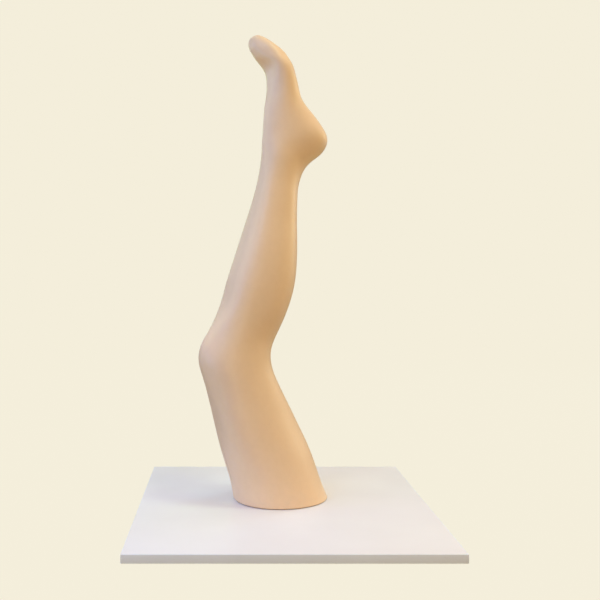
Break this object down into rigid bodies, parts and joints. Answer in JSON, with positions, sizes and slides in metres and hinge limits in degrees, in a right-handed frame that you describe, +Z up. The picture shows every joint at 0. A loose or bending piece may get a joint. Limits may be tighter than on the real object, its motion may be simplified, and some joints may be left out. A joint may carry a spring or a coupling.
{
  "type": "hosiery leg display form",
  "caption": "Life-size inverted display leg, toe up, in a bonded two-half shell, that turns and lifts off a spigot on a square white base board.",
  "frame": {"origin": "centre of the square base board, at the underside of the foot pads", "axes": "+Z up along the leg; +X to the right and -Y towards the front edge of the board, seen from the front; the shin faces -X, turned 18 degrees towards the front, and the outer side of the right leg faces -Y"},
  "size_m": [0.45, 0.45, 0.7602],
  "materials": {
    "skin_paint": "satin skin-tone paint over moulded glass-fibre plastic",
    "bonding_tape": "rough resin-soaked glass tape",
    "white_laminate": "fine pearl melamine, satin",
    "board_core": "raw fibreboard",
    "plywood": "sanded birch plywood",
    "steel": "drawn, turned end",
    "zinc_steel": "bright zinc plate",
    "nylon": "natural moulded nylon",
    "pad_rubber": "matt"
  },
  "bodies": {
    "base": {"base_core_board": "board_core", "base_top_laminate": "white_laminate", "base_bottom_laminate": "white_laminate", "edge_band_front": "white_laminate", "edge_band_rear": "white_laminate", "edge_band_left": "white_laminate", "edge_band_right": "white_laminate", "spigot_plate": "zinc_steel", "spigot_rod": "steel", "spigot_plate_screw_1": "zinc_steel", "spigot_plate_screw_2": "zinc_steel", "spigot_plate_screw_3": "zinc_steel", "spigot_plate_screw_4": "zinc_steel", "foot_pad_front_left": "pad_rubber", "foot_pad_front_right": "pad_rubber", "foot_pad_rear_left": "pad_rubber", "foot_pad_rear_right": "pad_rubber"},
    "swivel": {"glide_washer": "nylon"},
    "leg": {"leg_shell_outer": "skin_paint", "leg_shell_inner": "skin_paint", "front_seam_strip": "bonding_tape", "rear_seam_strip": "bonding_tape", "thigh_end_plug": "plywood", "upper_guide_disc": "plywood", "socket_flange": "zinc_steel", "socket_tube": "steel", "socket_tube_cap": "nylon", "socket_flange_screw_1": "zinc_steel", "socket_flange_screw_2": "zinc_steel", "socket_flange_screw_3": "zinc_steel", "socket_flange_screw_4": "zinc_steel"}
  },
  "joints": [
    {"name": "leg_swivel", "type": "hinge", "parent": "base", "child": "swivel", "pos_m": [-0.002, 0.032, 0.0145], "axis": [0, 0, 1], "continuous": true},
    {"name": "leg_lift", "type": "slide", "parent": "swivel", "child": "leg", "axis": [0, 0, 1], "range_m": [0, 0.1]}
  ]
}
